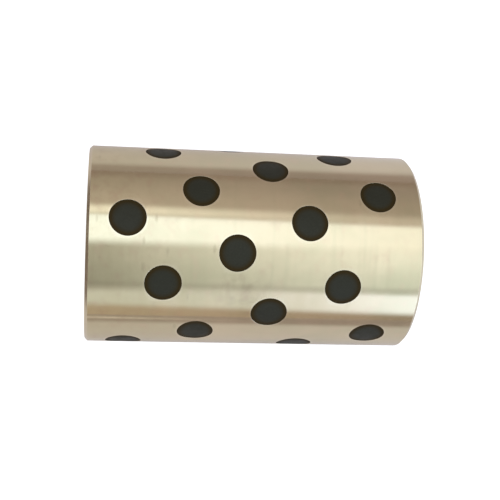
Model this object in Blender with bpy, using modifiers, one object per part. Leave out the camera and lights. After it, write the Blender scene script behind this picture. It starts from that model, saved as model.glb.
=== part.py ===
"""A bronze sleeve bushing with solid graphite lubricating plugs.

The sleeve is a plain turned tube. Its bore axis lies along +X, with the origin at
mid-length on the axis and +Z up, so the sleeve rests on its side. Holes drilled
straight through the wall hold graphite plugs whose ends are flush with the outside
and with the bore. The plugs stand in rings around the sleeve, and each ring is
turned from the one before it, so that every line along the bore crosses a plug.

All lengths are in metres.
"""

import math

import bpy

MM = 0.001

# Driving dimensions of the sleeve
BORE_DIAMETER = 45.0 * MM
OUTER_DIAMETER = 55.0 * MM
LENGTH = 90.0 * MM
OUTER_CHAMFER = 0.8 * MM
BORE_CHAMFER = 0.5 * MM

# Driving dimensions of the plugs
HOLE_DIAMETER = 10.0 * MM
FIT_GAP = 0.3 * MM
RING_COUNT = 8
PLUG_LETTERS = "abcd"
PLUGS_PER_RING = len(PLUG_LETTERS)
FIRST_RING_FROM_END = 10.6 * MM
RING_PITCH = 9.6 * MM

# The sleeve's flat facets, and the plug angles in whole facets. An angle about the
# bore is measured from the top of the sleeve (+Z) towards its front (-Y).
SLEEVE_FACETS = 80
FACET = 2 * math.pi / SLEEVE_FACETS
FIRST_PLUG_ANGLE = -3 * FACET
RING_TURN = 8 * FACET
HOLE_FACETS = 24
SHARP_ANGLE = math.radians(30)
MERGE_DISTANCE = 0.001 * MM

BORE_RADIUS = BORE_DIAMETER / 2
OUTER_RADIUS = OUTER_DIAMETER / 2
HALF_LENGTH = LENGTH / 2
MID_WALL_RADIUS = (BORE_RADIUS + OUTER_RADIUS) / 2
DRILL_LENGTH = 2 * (OUTER_RADIUS - BORE_RADIUS)
PLUG_DIAMETER = HOLE_DIAMETER - 2 * FIT_GAP

# Turns the working frame into the part's own frame: local Z runs along the bore
# (+X), local X points to the top (+Z) and local Y to the front (-Y).
BORE_TO_X = (math.pi, -math.pi / 2, 0)

BRONZE_COLOUR = (0.86, 0.74, 0.49, 1.0)
BRONZE_METALLIC = 1.0
BRONZE_ROUGHNESS = 0.25
GRAPHITE_COLOUR = (0.045, 0.042, 0.036, 1.0)
GRAPHITE_METALLIC = 0.0
GRAPHITE_ROUGHNESS = 0.6


def clear_scene():
    for obj in list(bpy.data.objects):
        bpy.data.objects.remove(obj, do_unlink=True)


def make_collection(name, parent):
    collection = bpy.data.collections.new(name)
    parent.children.link(collection)
    return collection


def make_material(name, colour, metallic, roughness):
    material = bpy.data.materials.new(name)
    material.use_nodes = True
    shader = material.node_tree.nodes["Principled BSDF"]
    shader.inputs["Base Color"].default_value = colour
    shader.inputs["Metallic"].default_value = metallic
    shader.inputs["Roughness"].default_value = roughness
    return material


def move_to(obj, collection):
    for old in list(obj.users_collection):
        old.objects.unlink(obj)
    collection.objects.link(obj)


def make_axis_empty(collection):
    """The bore axis, which everything else is placed on."""
    axis = bpy.data.objects.new("bore_axis", None)
    axis.rotation_euler = BORE_TO_X
    collection.objects.link(axis)
    return axis


def turned_tube(name, profile, axis, collection):
    """A closed profile of (radius, place along the bore), turned about the bore."""
    mesh = bpy.data.meshes.new(name)
    corners = [(radius, 0, place) for radius, place in profile]
    count = len(corners)
    edges = [(i, (i + 1) % count) for i in range(count)]
    mesh.from_pydata(corners, edges, [])
    tube = bpy.data.objects.new(name, mesh)
    collection.objects.link(tube)
    tube.parent = axis
    screw = tube.modifiers.new("turn", "SCREW")
    screw.axis = "Z"
    screw.steps = SLEEVE_FACETS
    screw.render_steps = SLEEVE_FACETS
    screw.use_merge_vertices = True
    screw.merge_threshold = MERGE_DISTANCE
    return tube


def sleeve_profile():
    """The wall's section: down the outside, then up the bore, with four chamfers."""
    return [
        (OUTER_RADIUS - OUTER_CHAMFER, HALF_LENGTH),
        (OUTER_RADIUS, HALF_LENGTH - OUTER_CHAMFER),
        (OUTER_RADIUS, OUTER_CHAMFER - HALF_LENGTH),
        (OUTER_RADIUS - OUTER_CHAMFER, -HALF_LENGTH),
        (BORE_RADIUS + BORE_CHAMFER, -HALF_LENGTH),
        (BORE_RADIUS, BORE_CHAMFER - HALF_LENGTH),
        (BORE_RADIUS, HALF_LENGTH - BORE_CHAMFER),
        (BORE_RADIUS + BORE_CHAMFER, HALF_LENGTH),
    ]


def wall_profile():
    """The plain wall between the bore and the outside, which trims the plugs' ends."""
    return [
        (OUTER_RADIUS, HALF_LENGTH),
        (OUTER_RADIUS, -HALF_LENGTH),
        (BORE_RADIUS, -HALF_LENGTH),
        (BORE_RADIUS, HALF_LENGTH),
    ]


def radial_cylinder(name, diameter, angle, place, axis, collection):
    """A cylinder that points out of the bore at one angle, through the whole wall."""
    bpy.ops.mesh.primitive_cylinder_add(
        vertices=HOLE_FACETS, radius=diameter / 2, depth=DRILL_LENGTH
    )
    cylinder = bpy.context.object
    cylinder.name = name
    cylinder.data.name = name
    move_to(cylinder, collection)
    cylinder.parent = axis
    across = MID_WALL_RADIUS * math.cos(angle)
    forward = MID_WALL_RADIUS * math.sin(angle)
    cylinder.location = (across, forward, place)
    cylinder.rotation_euler = (0, math.pi / 2, angle)
    return cylinder


def hide_helper(obj):
    obj.hide_render = True
    obj.display_type = "WIRE"


def cut(target, cutter, operation):
    boolean = target.modifiers.new(operation.lower(), "BOOLEAN")
    boolean.operation = operation
    boolean.solver = "EXACT"
    boolean.object = cutter


def finish_shape(obj):
    """Keeps the cut shape as the object's own mesh, smooth but for its real edges."""
    depsgraph = bpy.context.evaluated_depsgraph_get()
    mesh = bpy.data.meshes.new_from_object(obj.evaluated_get(depsgraph))
    mesh.name = obj.name
    obj.modifiers.clear()
    obj.data = mesh
    mesh.shade_smooth()
    mesh.set_sharp_from_angle(angle=SHARP_ANGLE)


def plug_places():
    """Each plug's ring, letter, angle about the bore and place along the bore."""
    places = []
    for ring in range(RING_COUNT):
        place = FIRST_RING_FROM_END - HALF_LENGTH + ring * RING_PITCH
        for step, letter in enumerate(PLUG_LETTERS):
            angle = FIRST_PLUG_ANGLE + ring * RING_TURN
            angle += step * 2 * math.pi / PLUGS_PER_RING
            places.append((ring + 1, letter, angle, place))
    return places


def build():
    clear_scene()
    scene = bpy.context.scene.collection
    parts = make_collection("sleeve_bushing", scene)
    cutters = make_collection("cutters", scene)
    bronze = make_material("bronze", BRONZE_COLOUR, BRONZE_METALLIC, BRONZE_ROUGHNESS)
    graphite = make_material("graphite", GRAPHITE_COLOUR, GRAPHITE_METALLIC, GRAPHITE_ROUGHNESS)

    axis = make_axis_empty(parts)
    sleeve = turned_tube("sleeve", sleeve_profile(), axis, parts)
    sleeve.data.materials.append(bronze)
    wall = turned_tube("wall", wall_profile(), axis, cutters)
    hide_helper(wall)
    plugs = []

    for ring, letter, angle, place in plug_places():
        spot = f"ring{ring}_{letter}"
        drill = radial_cylinder(f"drill_{spot}", HOLE_DIAMETER, angle, place, axis, cutters)
        hide_helper(drill)
        cut(sleeve, drill, "DIFFERENCE")
        plug = radial_cylinder(f"plug_{spot}", PLUG_DIAMETER, angle, place, axis, parts)
        plug.data.materials.append(graphite)
        cut(plug, wall, "INTERSECT")
        plugs.append(plug)

    for piece in [sleeve, *plugs]:
        finish_shape(piece)


build()
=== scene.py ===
"""Looks for the bronze sleeve bushing with graphite plugs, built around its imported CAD.

The bore axis runs along X. An angle about the bore is measured from the top (+Z)
towards the front (-Y). All lengths are in metres, and all angles in radians unless a
comment says degrees.
"""

from collections import namedtuple
import math

import bpy
import numpy as np
from mathutils import Matrix, Vector


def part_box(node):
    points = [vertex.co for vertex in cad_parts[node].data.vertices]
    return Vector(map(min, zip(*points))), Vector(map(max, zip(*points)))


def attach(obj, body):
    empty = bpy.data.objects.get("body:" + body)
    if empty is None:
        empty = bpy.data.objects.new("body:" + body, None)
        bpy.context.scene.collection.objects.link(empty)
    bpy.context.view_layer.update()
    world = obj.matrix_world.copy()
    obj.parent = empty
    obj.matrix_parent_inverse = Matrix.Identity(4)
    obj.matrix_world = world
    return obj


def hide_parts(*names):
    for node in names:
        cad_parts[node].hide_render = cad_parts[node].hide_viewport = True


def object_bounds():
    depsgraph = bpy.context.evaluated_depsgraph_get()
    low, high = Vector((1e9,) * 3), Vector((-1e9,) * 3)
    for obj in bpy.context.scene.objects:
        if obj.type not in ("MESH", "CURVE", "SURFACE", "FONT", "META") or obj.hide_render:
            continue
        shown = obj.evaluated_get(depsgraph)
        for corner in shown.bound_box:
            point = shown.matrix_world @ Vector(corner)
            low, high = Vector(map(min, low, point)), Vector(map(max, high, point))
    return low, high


MM = 0.001
MICRON = 0.000001
TURN = 2 * math.pi

# The pattern of the plugs: each ring is turned from the one to its left
PLUGS_PER_RING = 4
RING_TURN = math.radians(36)

# Fine shapes of the sleeve
HOLE_RADIUS = 4.9 * MM
HOLE_EDGE = 0.05 * MM
HOLE_EDGE_STEPS = 3
OUTER_CHAMFER = 0.8 * MM
BORE_CHAMFER = 0.5 * MM
CORNER_ROUNDING = 0.12 * MM
CORNER_STEPS = 4

# Fine shapes of the plugs
BOND_GAP = 0.06 * MM
PLUG_RECESS = 0.02 * MM
PLUG_EDGE = 0.1 * MM
PLUG_EDGE_STEPS = 3
PLUG_SIDES = 64
PLUG_RINGS = 6

# How finely the sleeve is divided. A strip is the run of surface along the sleeve
# that holds every second ring's plug, so there are two strips to each plug of a ring.
STRIPS = 2 * PLUGS_PER_RING
STRIP_STEPS = 16
PITCH_STEPS = 8
HOLE_LAYERS = 6
# The layers of faces around a hole crowd towards it by this power
LAYER_CROWDING = 1.2
# The mark for an edge dies away across a plug's end by this power
EDGE_MARK_FALL = 4

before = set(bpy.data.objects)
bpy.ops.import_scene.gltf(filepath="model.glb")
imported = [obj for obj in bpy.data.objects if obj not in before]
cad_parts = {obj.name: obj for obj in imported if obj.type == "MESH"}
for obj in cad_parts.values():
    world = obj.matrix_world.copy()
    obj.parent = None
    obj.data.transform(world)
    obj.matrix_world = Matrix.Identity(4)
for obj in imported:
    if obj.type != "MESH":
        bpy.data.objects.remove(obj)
cad_low, cad_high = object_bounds()


# ------------------------------------------------------------------ sizes from the CAD


def read_plugs():
    """Each plug's node name, its place along the bore and its angle about it."""
    plugs = []
    for node in sorted(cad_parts):
        if node.startswith("plug_ring"):
            low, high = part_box(node)
            middle = (low + high) / 2
            plugs.append((node, middle.x, math.atan2(-middle.y, middle.z)))
    return plugs


def read_bore_radius():
    corners = np.array([v.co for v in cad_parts["sleeve"].data.vertices])
    return float(np.hypot(corners[:, 1], corners[:, 2]).min())


PLUGS = read_plugs()
HALF_LENGTH = cad_high.x
OUTER_RADIUS = cad_high.z
BORE_RADIUS = read_bore_radius()
FIRST_PLUG_ANGLE = PLUGS[0][2]
FIRST_RING = min(place for _, place, _ in PLUGS)
LAST_RING = max(place for _, place, _ in PLUGS)
RING_COUNT = len(PLUGS) // PLUGS_PER_RING
PITCH = (LAST_RING - FIRST_RING) / (RING_COUNT - 1)

# The strips wind round the sleeve by this much from one ring to the next
STRIP_WIDTH = TURN / STRIPS
STRIP_WIND = RING_TURN - STRIP_WIDTH


def on_sleeve(radius, angle, place):
    """The point at a radius and an angle about the bore, and a place along it."""
    return Vector((place, -radius * math.sin(angle), radius * math.cos(angle)))


# ----------------------------------------------------------------------- mesh building


class Shell:
    """Collects points with their normals, then faces, and makes one smooth mesh."""

    def __init__(self):
        self.points = []
        self.normals = []
        self.marks = []
        self.faces = []
        self.known = {}

    def point(self, place, normal, mark=0.0, key=None):
        """Adds a point, or finds the one already there under the same key."""
        if key is not None and key in self.known:
            return self.known[key]
        self.points.append(place)
        self.normals.append(normal.normalized())
        self.marks.append(mark)
        if key is not None:
            self.known[key] = len(self.points) - 1
        return len(self.points) - 1

    def band(self, first, second):
        """Joins two closed loops of the same number of points with four-sided faces."""
        count = len(first)
        for i in range(count):
            j = (i + 1) % count
            self.faces.append((first[i], first[j], second[j], second[i]))

    def outward(self, face):
        """The same face, its points in the order that makes it look the way they do."""
        first, second, third = (self.points[i] for i in face[:3])
        looks = (second - first).cross(third - second)
        wanted = sum((self.normals[i] for i in face), Vector())
        return face if looks.dot(wanted) > 0 else face[::-1]

    def to_object(self, name, material):
        mesh = bpy.data.meshes.new(name)
        mesh.from_pydata(self.points, [], [self.outward(face) for face in self.faces])
        mesh.shade_smooth()
        mesh.normals_split_custom_set_from_vertices(self.normals)
        worn = mesh.attributes.new("edge", "FLOAT", "POINT")
        worn.data.foreach_set("value", self.marks)
        mesh.materials.append(material)
        obj = bpy.data.objects.new(name, mesh)
        bpy.context.scene.collection.objects.link(obj)
        return obj


class PlugFrame:
    """Turns places on one plug, measured from its own centre line, into the part's frame."""

    def __init__(self, place, angle):
        self.place = place
        self.angle = angle
        self.out = on_sleeve(1, angle, 0)
        self.side = on_sleeve(1, angle + TURN / 4, 0)
        self.along = Vector((1, 0, 0))

    def point(self, radius, turn, height):
        """At a radius and a turn about the plug, and a height from the bore axis."""
        across = radius * math.sin(turn)
        ahead = self.place + radius * math.cos(turn)
        return self.along * ahead + self.side * across + self.out * height

    def to_axis(self, turn):
        return -(self.along * math.cos(turn) + self.side * math.sin(turn))


def height_over(surface_radius, radius, turn):
    """How high a round surface stands above the bore axis, at a point on a plug's circle."""
    return math.sqrt(surface_radius**2 - (radius * math.sin(turn)) ** 2)


def away_from_axis(point):
    return Vector((0, point.y, point.z))


# --------------------------------------------------------------------------- the sleeve


def sleeve_columns(end_place):
    """Places along the sleeve at which its surface is divided, from end to end."""
    step = PITCH / PITCH_STEPS
    start = FIRST_RING - PITCH
    count = (RING_COUNT + 1) * PITCH_STEPS
    inner = [start + i * step for i in range(count + 1)]
    last = (inner[-1] + end_place) / 2
    return [-end_place, *inner, last, end_place]


class RoundSurface:
    """The sleeve's outside or its bore: strips of cells, each with one hole in it."""

    def __init__(self, shell, name, radius, end_place, outward):
        self.shell = shell
        self.name = name
        self.radius = radius
        self.outward = outward
        self.columns = sleeve_columns(end_place)
        self.lines = STRIPS * STRIP_STEPS
        self.rims = {}

    def angle(self, line, column):
        wound = STRIP_WIND * (self.columns[column] - FIRST_RING) / PITCH
        return FIRST_PLUG_ANGLE + line * STRIP_WIDTH / STRIP_STEPS + wound

    def surface_point(self, angle, place, mark=0.0, key=None):
        point = on_sleeve(self.radius, angle, place)
        return self.shell.point(point, away_from_axis(point) * self.outward, mark, key)

    def grid_point(self, line, column):
        key = (self.name, line % self.lines, column)
        return self.surface_point(self.angle(line, column), self.columns[column], 0, key)

    def end_loop(self, column):
        return [self.grid_point(line, column) for line in range(self.lines)]

    def plain_stretch(self, strip, first_column, last_column):
        start = strip * STRIP_STEPS - STRIP_STEPS // 2
        for line in range(start, start + STRIP_STEPS):
            for column in range(first_column, last_column):
                face = (
                    self.grid_point(line, column),
                    self.grid_point(line + 1, column),
                    self.grid_point(line + 1, column + 1),
                    self.grid_point(line, column + 1),
                )
                self.shell.faces.append(face)

    def cell_border(self, strip, column):
        """Grid points around one cell, as (line, column) pairs in order."""
        low, high = column - PITCH_STEPS, column + PITCH_STEPS
        left = strip * STRIP_STEPS - STRIP_STEPS // 2
        right = left + STRIP_STEPS
        border = [(line, high) for line in range(left, right)]
        border += [(right, place) for place in range(high, low, -1)]
        border += [(line, low) for line in range(right, left, -1)]
        border += [(left, place) for place in range(low, high)]
        return border

    def cell(self, strip, ring):
        """A cell whose faces close in, layer by layer, on the round hole at its centre."""
        column = 1 + (ring + 1) * PITCH_STEPS
        centre_place = self.columns[column]
        centre_angle = self.angle(strip * STRIP_STEPS, column)
        hole = PlugFrame(centre_place, centre_angle)
        border = self.cell_border(strip, column)
        spots = []
        for line, at in border:
            away = self.angle(line, at) - centre_angle
            ahead = self.columns[at] - centre_place
            turn = math.atan2(OUTER_RADIUS * away, ahead)
            spots.append((away, ahead, turn))

        outer = [self.grid_point(line, at) for line, at in border]
        rim_radius = HOLE_RADIUS + HOLE_EDGE
        for layer in range(1, HOLE_LAYERS + 1):
            share = (1 - layer / HOLE_LAYERS) ** LAYER_CROWDING
            loop = []
            for away, ahead, turn in spots:
                rim_ahead = rim_radius * math.cos(turn)
                rim_away = math.asin(rim_radius * math.sin(turn) / self.radius)
                place = centre_place + rim_ahead + (ahead - rim_ahead) * share
                angle = centre_angle + rim_away + (away - rim_away) * share
                mark = 1.0 if layer == HOLE_LAYERS else 0.0
                loop.append(self.surface_point(angle, place, mark))
            self.shell.band(outer, loop)
            outer = loop
        self.rims[strip, ring] = self.hole_edge(hole, [turn for _, _, turn in spots], outer)

    def hole_edge(self, hole, turns, outer):
        """Rounds the hole's edge over, and returns the loop where its wall begins."""
        for step in range(1, HOLE_EDGE_STEPS + 1):
            bend = step / HOLE_EDGE_STEPS * TURN / 4
            radius = HOLE_RADIUS + HOLE_EDGE * (1 - math.sin(bend))
            drop = HOLE_EDGE * (1 - math.cos(bend)) * self.outward
            loop = []
            for turn in turns:
                height = height_over(self.radius, radius, turn) - drop
                point = hole.point(radius, turn, height)
                face_normal = away_from_axis(point).normalized() * self.outward
                normal = face_normal * math.cos(bend) + hole.to_axis(turn) * math.sin(bend)
                loop.append(self.shell.point(point, normal, 1.0))
            self.shell.band(outer, loop)
            outer = loop
        return outer

    def build(self):
        last = len(self.columns) - 1
        for strip in range(STRIPS):
            first_ring = strip % 2
            for ring in range(first_ring, RING_COUNT, 2):
                self.cell(strip, ring)
            start = 1 + first_ring * PITCH_STEPS
            end = start + RING_COUNT * PITCH_STEPS
            self.plain_stretch(strip, 0, start)
            self.plain_stretch(strip, end, last)


def rounded_corners(corners, rounding, steps):
    """A line of (radius, place) corners as points with normals.

    Every corner but the first and the last is rounded.
    """
    line = [np.array(corner) for corner in corners]
    ways = [(b - a) / np.linalg.norm(b - a) for a, b in zip(line, line[1:])]
    normals = [np.array((way[1], -way[0])) for way in ways]
    points = [(line[0], normals[0])]
    for corner, before, after, first, second in zip(
        line[1:-1], ways, ways[1:], normals, normals[1:]
    ):
        bend = math.acos(float(before @ after))
        cut = rounding * math.tan(bend / 2)
        centre = corner - before * cut - first * rounding
        for step in range(steps + 1):
            share = step / steps
            normal = first * (1 - share) + second * share
            normal /= np.linalg.norm(normal)
            points.append((centre + normal * rounding, normal))
    points.append((line[-1], normals[-1]))
    return points


END_CORNERS = [
    (OUTER_RADIUS, HALF_LENGTH - OUTER_CHAMFER - CORNER_ROUNDING),
    (OUTER_RADIUS, HALF_LENGTH - OUTER_CHAMFER),
    (OUTER_RADIUS - OUTER_CHAMFER, HALF_LENGTH),
    (BORE_RADIUS + BORE_CHAMFER, HALF_LENGTH),
    (BORE_RADIUS, HALF_LENGTH - BORE_CHAMFER),
    (BORE_RADIUS, HALF_LENGTH - BORE_CHAMFER - CORNER_ROUNDING),
]


def close_end(shell, outside, bore, side):
    """Joins the outside to the bore across one end of the sleeve."""
    column = 0 if side < 0 else len(outside.columns) - 1
    profile = rounded_corners(END_CORNERS, CORNER_ROUNDING, CORNER_STEPS)
    loop = outside.end_loop(column)
    for (radius, place), (outward, ahead) in profile[1:-1]:
        ring = []
        for line in range(outside.lines):
            angle = outside.angle(line, column)
            point = on_sleeve(radius, angle, place * side)
            normal = on_sleeve(outward, angle, ahead * side)
            ring.append(shell.point(point, normal, 1.0))
        shell.band(loop, ring)
        loop = ring
    shell.band(loop, bore.end_loop(column))


def build_sleeve(material):
    shell = Shell()
    outer_end = HALF_LENGTH - OUTER_CHAMFER - CORNER_ROUNDING
    bore_end = HALF_LENGTH - BORE_CHAMFER - CORNER_ROUNDING
    outside = RoundSurface(shell, "outside", OUTER_RADIUS, outer_end, 1)
    bore = RoundSurface(shell, "bore", BORE_RADIUS, bore_end, -1)
    outside.build()
    bore.build()
    for spot, rim in outside.rims.items():
        shell.band(rim, bore.rims[spot])
    for side in (-1, 1):
        close_end(shell, outside, bore, side)
    sleeve = shell.to_object("bronze_sleeve", material)
    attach(sleeve, "root")
    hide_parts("sleeve")


# ---------------------------------------------------------------------------- the plugs


def plug_end(shell, plug, surface_radius, outward):
    """One end of a plug, curved like the sleeve, from its rounded edge to its centre."""
    radius = HOLE_RADIUS - BOND_GAP
    turns = [TURN * i / PLUG_SIDES for i in range(PLUG_SIDES)]
    level = surface_radius - PLUG_RECESS * outward
    loops = []
    for step in range(PLUG_EDGE_STEPS + 1):
        bend = (1 - step / PLUG_EDGE_STEPS) * TURN / 4
        ring_radius = radius - PLUG_EDGE * (1 - math.sin(bend))
        drop = PLUG_EDGE * (1 - math.cos(bend)) * outward
        loop = []
        for turn in turns:
            height = height_over(level, ring_radius, turn) - drop
            point = plug.point(ring_radius, turn, height)
            face_normal = away_from_axis(point).normalized() * outward
            normal = face_normal * math.cos(bend) - plug.to_axis(turn) * math.sin(bend)
            loop.append(shell.point(point, normal, 1.0))
        loops.append(loop)
    flat_radius = radius - PLUG_EDGE
    for ring in range(PLUG_RINGS - 1, 0, -1):
        share = ring / PLUG_RINGS
        ring_radius = flat_radius * share
        loop = []
        for turn in turns:
            point = plug.point(ring_radius, turn, height_over(level, ring_radius, turn))
            mark = share**EDGE_MARK_FALL
            loop.append(shell.point(point, away_from_axis(point) * outward, mark))
        loops.append(loop)
    for first, second in zip(loops, loops[1:]):
        shell.band(first, second)
    middle = shell.point(plug.point(0, 0, level), plug.out * outward)
    for i in range(PLUG_SIDES):
        shell.faces.append((loops[-1][i], loops[-1][(i + 1) % PLUG_SIDES], middle))
    return loops[0]


def build_plug(node, place, angle, material):
    shell = Shell()
    plug = PlugFrame(place, angle)
    outer = plug_end(shell, plug, OUTER_RADIUS, 1)
    inner = plug_end(shell, plug, BORE_RADIUS, -1)
    shell.band(outer, inner)
    piece = shell.to_object(node.replace("plug_ring", "graphite_plug_"), material)
    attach(piece, "root")
    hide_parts(node)


# ------------------------------------------------------------------------- shader nodes


# Between these X parts a surface's normal passes from the round sides to the end faces
END_NORMAL = (0.6, 0.8)


class Graph:
    """Adds shader nodes to one material or world, in fewer words."""

    def __init__(self, owner):
        owner.use_nodes = True
        self.tree = owner.node_tree
        self.tree.nodes.clear()

    def add(self, kind, **settings):
        node = self.tree.nodes.new(kind)
        for name, value in settings.items():
            setattr(node, name, value)
        return node

    def feed(self, socket, value):
        """Gives a socket a value, a colour or another node's output."""
        if isinstance(value, bpy.types.NodeSocket):
            self.tree.links.new(value, socket)
        elif isinstance(value, tuple) and len(value) == 3 and socket.type == "RGBA":
            socket.default_value = (*value, 1.0)
        else:
            socket.default_value = value

    def math(self, operation, *values):
        node = self.add("ShaderNodeMath", operation=operation)
        for socket, value in zip(node.inputs, values):
            self.feed(socket, value)
        return node.outputs[0]

    def ramp(self, value, low, high, start=0.0, end=1.0, smooth=True):
        """Turns low..high of a value into start..end, with soft ends unless told not to."""
        kind = "SMOOTHSTEP" if smooth else "LINEAR"
        node = self.add("ShaderNodeMapRange", interpolation_type=kind)
        for socket, number in zip(node.inputs, (value, low, high, start, end)):
            self.feed(socket, number)
        return node.outputs[0]

    def mix(self, share, first, second, blend="MIX"):
        node = self.add("ShaderNodeMix", data_type="RGBA", blend_type=blend)
        self.feed(node.inputs[0], share)
        self.feed(node.inputs[6], first)
        self.feed(node.inputs[7], second)
        return node.outputs[2]

    def blend(self, share, first, second):
        """Mixes two plain numbers."""
        node = self.add("ShaderNodeMix", data_type="FLOAT")
        self.feed(node.inputs[0], share)
        self.feed(node.inputs[2], first)
        self.feed(node.inputs[3], second)
        return node.outputs[0]

    def place(self):
        """The object's own coordinates, in metres."""
        return self.add("ShaderNodeTexCoord").outputs["Object"]

    def split(self, vector):
        node = self.add("ShaderNodeSeparateXYZ")
        self.feed(node.inputs[0], vector)
        return node.outputs

    def from_axis(self):
        """The distance from the bore axis, in metres."""
        _, y, z = self.split(self.place())
        return self.math("SQRT", self.math("ADD", self.squared(y), self.squared(z)))

    def on_end(self):
        """1 on the sleeve's end faces, which are square to the bore, and 0 on its sides."""
        normal = self.split(self.add("ShaderNodeTexCoord").outputs["Normal"])
        return self.ramp(self.math("ABSOLUTE", normal[0]), *END_NORMAL)

    def lathe_place(self):
        """The object's coordinates, with X as the distance from the axis on end faces.

        So X always changes from one turning line to the next, and Y and Z along them.
        """
        x, y, z = self.split(self.place())
        joined = self.add("ShaderNodeCombineXYZ")
        self.feed(joined.inputs[0], self.blend(self.on_end(), x, self.from_axis()))
        self.feed(joined.inputs[1], y)
        self.feed(joined.inputs[2], z)
        return joined.outputs[0]

    def squared(self, value):
        return self.math("MULTIPLY", value, value)

    def distance(self, place, other):
        node = self.add("ShaderNodeVectorMath", operation="DISTANCE")
        self.feed(node.inputs[0], place)
        self.feed(node.inputs[1], other)
        return node.outputs["Value"]

    def stretched(self, place, scale):
        node = self.add("ShaderNodeVectorMath", operation="MULTIPLY")
        self.feed(node.inputs[0], place)
        self.feed(node.inputs[1], scale)
        return node.outputs[0]

    def noise(self, place, scale, detail=2.0, roughness=0.5):
        """Noise whose features are about 1/scale metres wide along each axis."""
        node = self.add("ShaderNodeTexNoise")
        self.feed(node.inputs["Vector"], self.stretched(place, scale))
        self.feed(node.inputs["Scale"], 1.0)
        self.feed(node.inputs["Detail"], detail)
        self.feed(node.inputs["Roughness"], roughness)
        return node.outputs[0]

    def spots(self, place, scale, size, share):
        """Scattered spots, one in a share of the cells that are 1/scale metres wide.

        A spot's size is its reach in cells. It is full out to a third of that.
        """
        node = self.add("ShaderNodeTexVoronoi")
        self.feed(node.inputs["Vector"], self.stretched(place, scale))
        self.feed(node.inputs["Scale"], 1.0)
        near = self.ramp(node.outputs["Distance"], size, size / 3)
        split = self.add("ShaderNodeSeparateColor")
        self.feed(split.inputs[0], node.outputs["Color"])
        chosen = self.math("LESS_THAN", split.outputs[0], share)
        return self.math("MULTIPLY", near, chosen)

    def attribute(self, name):
        return self.add("ShaderNodeAttribute", attribute_name=name).outputs["Fac"]

    def finish(self, shader, height=None):
        """Makes a surface shader the output, with a height in metres as its fine relief."""
        if height is not None:
            bump = self.add("ShaderNodeBump")
            self.feed(bump.inputs["Distance"], 1.0)
            self.feed(bump.inputs["Height"], height)
            self.feed(shader.inputs["Normal"], bump.outputs[0])
        output = self.add("ShaderNodeOutputMaterial")
        self.feed(output.inputs["Surface"], shader.outputs[0])


# ------------------------------------------------------------------------ the materials


BRONZE = (0.82, 0.71, 0.475)
BRONZE_COPPERY = (0.80, 0.665, 0.45)
BRONZE_OLIVE = (0.74, 0.665, 0.435)
BRONZE_WORN = (0.88, 0.79, 0.57)
BRONZE_DIRT = (0.30, 0.24, 0.15)
# Handling has left the bronze more tarnished towards the left end
BRONZE_STAIN = (0.67, 0.60, 0.38)
HANDLED_FROM = -10 * MM
HANDLED_CLOUD = 0.16
# One smear of dirt stands out on the upper front, left of mid-length
SMEAR_PLACE = (-3.5 * MM, -13.5 * MM, 24 * MM)
SMEAR_REACH = 10 * MM
SMEAR_CORE = 2 * MM

# Features per metre of the bronze's patterns. The turned ones are fine along X, from
# one turning line to the next, and long around the bore.
TURNED_LINES = (5000, 25, 25)
TURNED_STREAKS = (420, 14, 14)
TURNED_SMUDGES = (330, 120, 120)
TOOL_RINGS = (1500, 15, 15)
CLOUDS = (45, 70, 70)
MOTTLING = (330, 260, 260)
WAVES = (70, 110, 110)
PITS = (260, 260, 260)
# How far a pit and a smudge reach, in cells of their patterns, and how many there are
PIT_SIZE, PIT_SHARE = 0.08, 0.26
SMUDGE_SIZE, SMUDGE_SHARE = 0.2, 0.16

# How strongly each mark tints the bronze
PIT_TINT = 0.75
SMUDGE_TINT = 0.16
WORN_TINT = 0.6
COPPERY_TINT = 0.7
STREAK_TINT = 0.35
PATCH_TINT = 0.14
RING_TINT = 0.22
STAIN_TINTS = (0.1, 0.55)
SMEAR_TINTS = (0.08, 0.28)

# The finish is finely turned outside, and coarser in the bore and on the end faces
ROUGH = (0.145, 0.185)
ROUGH_MOTTLED = 0.035
ROUGH_SMUDGED = 0.05
ROUGH_COARSE = 0.08
LINE_DEPTH = 1.6 * MICRON
LINE_DEPTH_COARSE = 2.2 * MICRON
STREAK_DEPTH = 2.0 * MICRON
WAVE_DEPTH = 9.0 * MICRON
RING_DEPTH = 10.0 * MICRON
# Turning lines stretch each highlight across them
ANISOTROPY = 0.9
ACROSS_LINES = 0.25


class BronzeMarks:
    """The patterns that the bronze's colour, roughness and relief share."""

    def __init__(self, graph):
        place = graph.place()
        lathe = graph.lathe_place()
        self.lines = graph.noise(lathe, TURNED_LINES, roughness=0.6)
        self.streaks = graph.noise(lathe, TURNED_STREAKS, detail=4.0, roughness=0.6)
        self.rings = graph.noise(lathe, TOOL_RINGS)
        self.mottle = graph.noise(place, MOTTLING, detail=4.0, roughness=0.6)
        self.wave = graph.noise(place, WAVES, detail=1.0)
        self.pits = graph.spots(place, PITS, PIT_SIZE, PIT_SHARE)
        self.smudges = graph.spots(lathe, TURNED_SMUDGES, SMUDGE_SIZE, SMUDGE_SHARE)
        self.smear = graph.ramp(graph.distance(place, SMEAR_PLACE), SMEAR_REACH, SMEAR_CORE)
        self.handled = graph.ramp(graph.split(place)[0], HANDLED_FROM, -HALF_LENGTH)
        bore_edge = BORE_RADIUS + BORE_CHAMFER
        in_bore = graph.ramp(graph.from_axis(), bore_edge, bore_edge - BORE_CHAMFER / 2)
        self.faced = graph.on_end()
        self.coarse = graph.math("ADD", in_bore, self.faced)
        cloud = graph.noise(place, CLOUDS, detail=3.0, roughness=0.55)
        more = graph.math("MULTIPLY", self.handled, HANDLED_CLOUD)
        self.cloud = graph.math("ADD", cloud, more)


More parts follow.
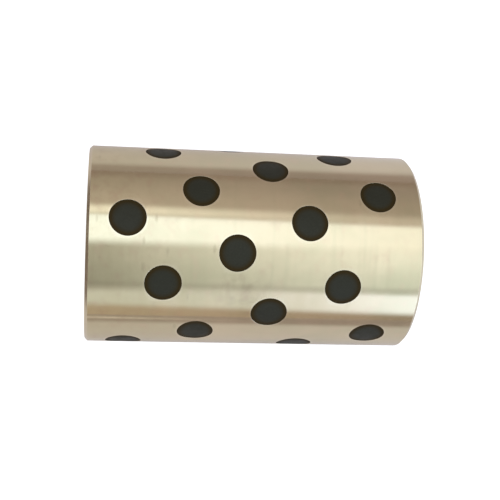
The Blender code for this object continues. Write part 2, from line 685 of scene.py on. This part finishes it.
def bronze_colour(graph, marks):
    """The bare metal, then its tarnish, then its dirt, then its worn edges.

    Noise stays mostly between 0.3 and 0.7. The first two numbers of a ramp over it say
    where a mark begins and where it is full, and so how much of the surface it covers.
    """
    mottle = marks.mottle
    colour = graph.mix(graph.ramp(marks.cloud, 0.40, 0.66), BRONZE, BRONZE_OLIVE)
    stained = graph.ramp(mottle, 0.38, 0.66, *STAIN_TINTS)
    colour = graph.mix(graph.math("MULTIPLY", marks.handled, stained), colour, BRONZE_STAIN)
    coppery = graph.ramp(mottle, 0.50, 0.74, 0, COPPERY_TINT)
    colour = graph.mix(coppery, colour, BRONZE_COPPERY)
    streaked = graph.ramp(marks.streaks, 0.52, 0.72, 0, STREAK_TINT)
    colour = graph.mix(streaked, colour, BRONZE_OLIVE)
    patched = graph.ramp(mottle, 0.50, 0.72, 0, PATCH_TINT)
    ringed = graph.ramp(marks.rings, 0.42, 0.64, 0, RING_TINT)
    smeared = graph.ramp(mottle, 0.38, 0.66, *SMEAR_TINTS)
    dirt = [
        (marks.handled, patched),
        (graph.math("ADD", marks.coarse, marks.faced), ringed),
        (marks.smudges, SMUDGE_TINT),
        (marks.pits, PIT_TINT),
        (marks.smear, smeared),
    ]
    for where, tint in dirt:
        colour = graph.mix(graph.math("MULTIPLY", where, tint), colour, BRONZE_DIRT)
    worn = graph.math("MULTIPLY", graph.attribute("edge"), WORN_TINT)
    return graph.mix(worn, colour, BRONZE_WORN)


def bronze_roughness(graph, marks):
    rough = graph.ramp(marks.streaks, 0.3, 0.7, *ROUGH)
    rough = graph.math("ADD", rough, graph.ramp(marks.mottle, 0.4, 0.8, 0, ROUGH_MOTTLED))
    for where, more in [(marks.smudges, ROUGH_SMUDGED), (marks.coarse, ROUGH_COARSE)]:
        rough = graph.math("ADD", rough, graph.math("MULTIPLY", where, more))
    return rough


def bronze_relief(graph, marks):
    line_depth = graph.blend(marks.coarse, LINE_DEPTH, LINE_DEPTH_COARSE)
    height = graph.math("MULTIPLY", marks.lines, line_depth)
    rest = [
        (marks.streaks, STREAK_DEPTH),
        (marks.wave, WAVE_DEPTH),
        (marks.rings, graph.math("MULTIPLY", marks.faced, RING_DEPTH)),
    ]
    for pattern, depth in rest:
        height = graph.math("ADD", height, graph.math("MULTIPLY", pattern, depth))
    return height


def bronze_material():
    """Turned bronze: fine lines around the bore, a thin tarnish, a few marks."""
    material = bpy.data.materials.new("bronze_turned")
    graph = Graph(material)
    marks = BronzeMarks(graph)
    shader = graph.add("ShaderNodeBsdfPrincipled")
    graph.feed(shader.inputs["Base Color"], bronze_colour(graph, marks))
    graph.feed(shader.inputs["Metallic"], 1.0)
    graph.feed(shader.inputs["Roughness"], bronze_roughness(graph, marks))
    graph.feed(shader.inputs["Anisotropic"], ANISOTROPY)
    graph.feed(shader.inputs["Anisotropic Rotation"], ACROSS_LINES)
    around = graph.add("ShaderNodeTangent", direction_type="RADIAL", axis="X")
    graph.feed(shader.inputs["Tangent"], around.outputs[0])
    graph.finish(shader, bronze_relief(graph, marks))
    return material


GRAPHITE = (0.021, 0.022, 0.013)
GRAPHITE_LIGHT = (0.033, 0.034, 0.021)
GRAPHITE_RIM = (0.036, 0.023, 0.005)
GRAPHITE_SHEEN = (1.0, 0.97, 0.85)
GRAPHITE_GRAIN = (2600, 2600, 2600)
GRAPHITE_CLOUDS = (260, 260, 260)
GRAPHITE_LINES = (4200, 60, 60)
GRAPHITE_ROUGH = (0.5, 0.62)
GRAPHITE_SHINE = 0.32
GRAPHITE_RIM_SHINE = 0.12
GRAPHITE_LINE_DEPTH = 3.0 * MICRON
GRAPHITE_GRAIN_DEPTH = 5.0 * MICRON


def graphite_material():
    """Solid graphite: a matte, fine grain with faint turning lines and a glued rim."""
    material = bpy.data.materials.new("graphite_solid")
    graph = Graph(material)
    grain = graph.noise(graph.place(), GRAPHITE_GRAIN, detail=4.0, roughness=0.65)
    cloud = graph.noise(graph.place(), GRAPHITE_CLOUDS, detail=3.0)
    lines = graph.noise(graph.lathe_place(), GRAPHITE_LINES, roughness=0.6)

    fleck = graph.ramp(grain, 0.40, 0.75)
    light = graph.math("MULTIPLY", fleck, graph.ramp(cloud, 0.3, 0.7, 0.4, 1.0))
    colour = graph.mix(light, GRAPHITE, GRAPHITE_LIGHT)
    rim = graph.ramp(graph.attribute("edge"), 0.05, 0.75)
    colour = graph.mix(rim, colour, GRAPHITE_RIM)
    height = graph.math("MULTIPLY", lines, GRAPHITE_LINE_DEPTH)
    height = graph.math("ADD", height, graph.math("MULTIPLY", grain, GRAPHITE_GRAIN_DEPTH))

    shader = graph.add("ShaderNodeBsdfPrincipled")
    graph.feed(shader.inputs["Base Color"], colour)
    graph.feed(shader.inputs["Roughness"], graph.ramp(cloud, 0.3, 0.7, *GRAPHITE_ROUGH))
    shine = graph.blend(rim, GRAPHITE_SHINE, GRAPHITE_RIM_SHINE)
    graph.feed(shader.inputs["Specular IOR Level"], shine)
    graph.feed(shader.inputs["Specular Tint"], GRAPHITE_SHEEN)
    graph.finish(shader, height)
    return material


# --------------------------------------------------------------- floor, light and camera


# What stands around the bushing, from the near floor over the top to the far floor.
# Each band begins at a direction in degrees from overhead, with the near side as minus,
# given first as the left end of the sleeve sees it and then as the right end does. Then
# come how soft that edge is, in degrees, the light towards the left and towards the
# right, and the power by which the one turns into the other.
Band = namedtuple("Band", "name left_start right_start soft left_light right_light ease")
SURROUNDINGS = [
    Band("near wall", -180, -180, 1, (0.55, 0.46, 0.40), (0.34, 0.29, 0.27), 1.0),
    Band("near window", -75, -83, 5, (0.71, 0.735, 0.77), (1.90, 2.20, 3.05), 6.0),
    Band("window frame", -50, -55.3, 3, (0.54, 0.54, 0.54), (0.64, 0.73, 0.80), 0.8),
    Band("near ceiling", -45, -46, 3, (0.60, 0.62, 0.63), (0.92, 1.04, 1.14), 1.1),
    Band("ceiling", -22, -24, 20, (0.68, 0.69, 0.70), (1.24, 1.34, 1.48), 0.9),
    Band("panel", 1.2, -2, 6, (1.40, 1.55, 1.85), (1.10, 1.15, 1.20), 0.8),
    Band("panel's joint", 32, 28, 1.5, (1.00, 1.02, 1.06), (0.56, 0.50, 0.48), 0.4),
    Band("panel's strip", 35, 32, 1.5, (1.42, 1.42, 1.48), (0.52, 0.47, 0.45), 0.4),
    Band("far ceiling", 43.3, 38.5, 4, (0.62, 0.55, 0.54), (0.37, 0.33, 0.31), 0.6),
    Band("far wall", 64, 64, 16, (0.45, 0.395, 0.375), (0.32, 0.28, 0.28), 0.7),
    Band("far skirting", 84, 86, 8, (0.33, 0.27, 0.26), (0.25, 0.195, 0.185), 1.0),
]
# The direction's X part at which the surroundings are fully those of the right
RIGHT_SIDE = 0.34
# Something dark over the left end shades what lies from this direction, in degrees, to
# the panel, where the X part is minus
SHADED_UP_TO = "panel"
SHADE_START = -56
SHADE_SOFT = 4
SHADE_EDGE = 0.05
SHADE = (0.34, 0.30, 0.25)
# Beyond these X parts of the direction there are plain walls. The left one is dark low
# down, and grows light between these Z parts.
WALL_START = 0.60
WALL_FULL = 0.85
LEFT_WALL = (0.13, 0.09, 0.075)
LEFT_WALL_ABOVE = (0.80, 0.76, 0.74)
LEFT_WALL_RISE = (0.10, 0.35)
RIGHT_WALL = (0.46, 0.45, 0.46)
# The right wall has a bright doorway: its two sides as Y parts, and its sill as a Z part
DOORWAY = (1.25, 1.33, 1.45)
DOORWAY_SIDES = (-0.42, -0.10)
DOORWAY_SILL = 0.12
DOORWAY_SOFT = 0.05
WHITE = (1.0, 1.0, 1.0)


def shade_left(graph, colour, along, from_top):
    inside = graph.ramp(from_top, SHADE_START - SHADE_SOFT, SHADE_START + SHADE_SOFT)
    beside = graph.ramp(along, SHADE_EDGE, -SHADE_EDGE)
    shaded = graph.mix(1.0, colour, SHADE, "MULTIPLY")
    return graph.mix(graph.math("MULTIPLY", inside, beside), colour, shaded)


def bands_around(graph, along, from_top):
    """Lays each band over the ones before it, from its own edge onwards."""
    right = graph.ramp(along, 0.0, RIGHT_SIDE, smooth=False)
    colour = SURROUNDINGS[0].left_light
    for band in SURROUNDINGS:
        if band.name == SHADED_UP_TO:
            colour = shade_left(graph, colour, along, from_top)
        ease = graph.math("POWER", right, band.ease)
        light = graph.mix(ease, band.left_light, band.right_light)
        ends = (band.left_start, band.right_start)
        start = graph.ramp(along, 0.0, RIGHT_SIDE, *ends, smooth=False)
        inside = graph.math("SUBTRACT", from_top, start)
        colour = graph.mix(graph.ramp(inside, -band.soft, band.soft), colour, light)
    return colour


def end_walls(graph, colour, along, back, up):
    near_side, far_side = DOORWAY_SIDES
    inside = graph.ramp(back, near_side - DOORWAY_SOFT, near_side + DOORWAY_SOFT)
    beside = graph.ramp(back, far_side + DOORWAY_SOFT, far_side - DOORWAY_SOFT)
    above = graph.ramp(up, DOORWAY_SILL - DOORWAY_SOFT, DOORWAY_SILL + DOORWAY_SOFT)
    doorway = graph.math("MULTIPLY", graph.math("MULTIPLY", inside, beside), above)
    left_wall = graph.mix(graph.ramp(up, *LEFT_WALL_RISE), LEFT_WALL, LEFT_WALL_ABOVE)
    right_wall = graph.mix(doorway, RIGHT_WALL, DOORWAY)
    colour = graph.mix(graph.ramp(along, -WALL_START, -WALL_FULL), colour, left_wall)
    return graph.mix(graph.ramp(along, WALL_START, WALL_FULL), colour, right_wall)


def light_world():
    """Lights the bushing from the surroundings, which the camera sees as plain white."""
    world = bpy.data.worlds.new("soft_studio")
    bpy.context.scene.world = world
    graph = Graph(world)
    along, back, up = graph.split(graph.add("ShaderNodeTexCoord").outputs["Generated"])
    from_top = graph.math("MULTIPLY", graph.math("ARCTAN2", back, up), math.degrees(1))
    colour = bands_around(graph, along, from_top)
    colour = end_walls(graph, colour, along, back, up)
    seen = graph.add("ShaderNodeLightPath").outputs["Is Camera Ray"]
    background = graph.add("ShaderNodeBackground")
    graph.feed(background.inputs["Color"], graph.mix(seen, colour, WHITE))
    output = graph.add("ShaderNodeOutputWorld")
    graph.feed(output.inputs["Surface"], background.outputs[0])


FLOOR_SIZE = 4.0
# The pale table that the bushing lies on, lighter to the right
TABLE_LEFT = (0.78, 0.70, 0.67)
TABLE_RIGHT = (0.81, 0.765, 0.785)
TABLE_SIDE = 0.12
# Where the table's front and back begin to darken, and where they have turned into the
# floor beyond. Its back edge comes nearer towards the right, by this slope.
TABLE_FRONT = -0.15
FRONT_FADE = -0.27
TABLE_BACK = 0.12
BACK_FADE = 0.28
BACK_SKEW = 0.25
BEYOND_LEFT = (0.54, 0.45, 0.42)
BEYOND_RIGHT = (0.45, 0.37, 0.355)
# The table's two ends in the same way, with a dark floor to its left and a bright one
# to its right
TABLE_LEFT_END = -0.12
LEFT_END_FADE = -0.20
LEFT_OF_TABLE = (0.15, 0.10, 0.08)
TABLE_RIGHT_END = 0.10
RIGHT_END_FADE = 0.14
RIGHT_OF_TABLE = (1.0, 1.0, 1.0)
# One brighter strip runs in front of the table, between these two Ys, at the left
STRIP_LIGHT = (1.0, 0.88, 0.83)
STRIP_START = -0.37
STRIP_END = -0.58
STRIP_RIGHT = 0.04
STRIP_SOFT = 0.02
# To the camera the floor is plain white that takes only a soft part of each shadow
SEEN_GLOW = 0.75
SEEN_SHADED = 0.75


def reflected_floor(graph):
    """The floor's colour as the bushing reflects it."""
    x, y, _ = graph.split(graph.place())
    right = graph.ramp(x, -TABLE_SIDE, TABLE_SIDE)
    table = graph.mix(right, TABLE_LEFT, TABLE_RIGHT)
    table = graph.mix(graph.ramp(x, TABLE_LEFT_END, LEFT_END_FADE), table, LEFT_OF_TABLE)
    table = graph.mix(graph.ramp(x, TABLE_RIGHT_END, RIGHT_END_FADE), table, RIGHT_OF_TABLE)
    in_front = graph.ramp(y, TABLE_FRONT, FRONT_FADE)
    skewed = graph.math("ADD", y, graph.math("MULTIPLY", x, BACK_SKEW))
    outside = graph.math("ADD", in_front, graph.ramp(skewed, TABLE_BACK, BACK_FADE))
    beyond = graph.mix(right, BEYOND_LEFT, BEYOND_RIGHT)
    colour = graph.mix(outside, table, beyond)
    strip = graph.ramp(y, STRIP_START + STRIP_SOFT, STRIP_START - STRIP_SOFT)
    strip = graph.math("MULTIPLY", strip, graph.ramp(y, STRIP_END - STRIP_SOFT, STRIP_END))
    strip = graph.math("MULTIPLY", strip, graph.ramp(x, STRIP_RIGHT, -STRIP_RIGHT))
    return graph.mix(strip, colour, STRIP_LIGHT)


def make_floor():
    bpy.ops.mesh.primitive_plane_add(size=FLOOR_SIZE, location=(0, 0, cad_low.z))
    floor = bpy.context.object
    floor.name = "floor"
    material = bpy.data.materials.new("floor_pale")
    graph = Graph(material)
    seen = graph.add("ShaderNodeLightPath").outputs["Is Camera Ray"]
    shaded = (SEEN_SHADED, SEEN_SHADED, SEEN_SHADED)
    shader = graph.add("ShaderNodeBsdfPrincipled")
    colour = graph.mix(seen, reflected_floor(graph), shaded)
    graph.feed(shader.inputs["Base Color"], colour)
    graph.feed(shader.inputs["Roughness"], 1.0)
    graph.feed(shader.inputs["Specular IOR Level"], 0.0)
    graph.feed(shader.inputs["Emission Color"], WHITE)
    graph.feed(shader.inputs["Emission Strength"], graph.math("MULTIPLY", seen, SEEN_GLOW))
    graph.finish(shader)
    floor.data.materials.append(material)


# The camera looks down on the sleeve from nearly overhead, above its left end
CAMERA_FROM_AXIS = 10.55 * OUTER_RADIUS
CAMERA_FROM_LEFT_END = 0.197 * OUTER_RADIUS
CAMERA_ELEVATION = math.radians(88.74)
CAMERA_YAW = math.radians(8.05)
CAMERA_PITCH = math.radians(0.13)
CAMERA_ROLL = math.radians(1.69)
CAMERA_LENS_MM = 73.0
CAMERA_NEAREST = 10 * MM


def make_camera():
    data = bpy.data.cameras.new("camera")
    data.lens = CAMERA_LENS_MM
    data.clip_start = CAMERA_NEAREST
    camera = bpy.data.objects.new("camera", data)
    bpy.context.scene.collection.objects.link(camera)
    right = Vector((1, 0, 0))
    back = Vector((0, -math.cos(CAMERA_ELEVATION), math.sin(CAMERA_ELEVATION)))
    level = Matrix((right, back.cross(right), back)).transposed()
    turned = Matrix.Rotation(-CAMERA_YAW, 3, "Y") @ Matrix.Rotation(-CAMERA_PITCH, 3, "X")
    rolled = turned @ Matrix.Rotation(CAMERA_ROLL, 3, "Z")
    place = back * CAMERA_FROM_AXIS + right * (CAMERA_FROM_LEFT_END - HALF_LENGTH)
    camera.matrix_world = Matrix.Translation(place) @ (level @ rolled).to_4x4()
    bpy.context.scene.camera = camera


def set_colours():
    view = bpy.context.scene.view_settings
    view.view_transform = "Standard"
    view.look = "None"


bronze = bronze_material()
graphite = graphite_material()
build_sleeve(bronze)
for plug_node, plug_place, plug_angle in PLUGS:
    build_plug(plug_node, plug_place, plug_angle, graphite)
light_world()
make_floor()
make_camera()
set_colours()
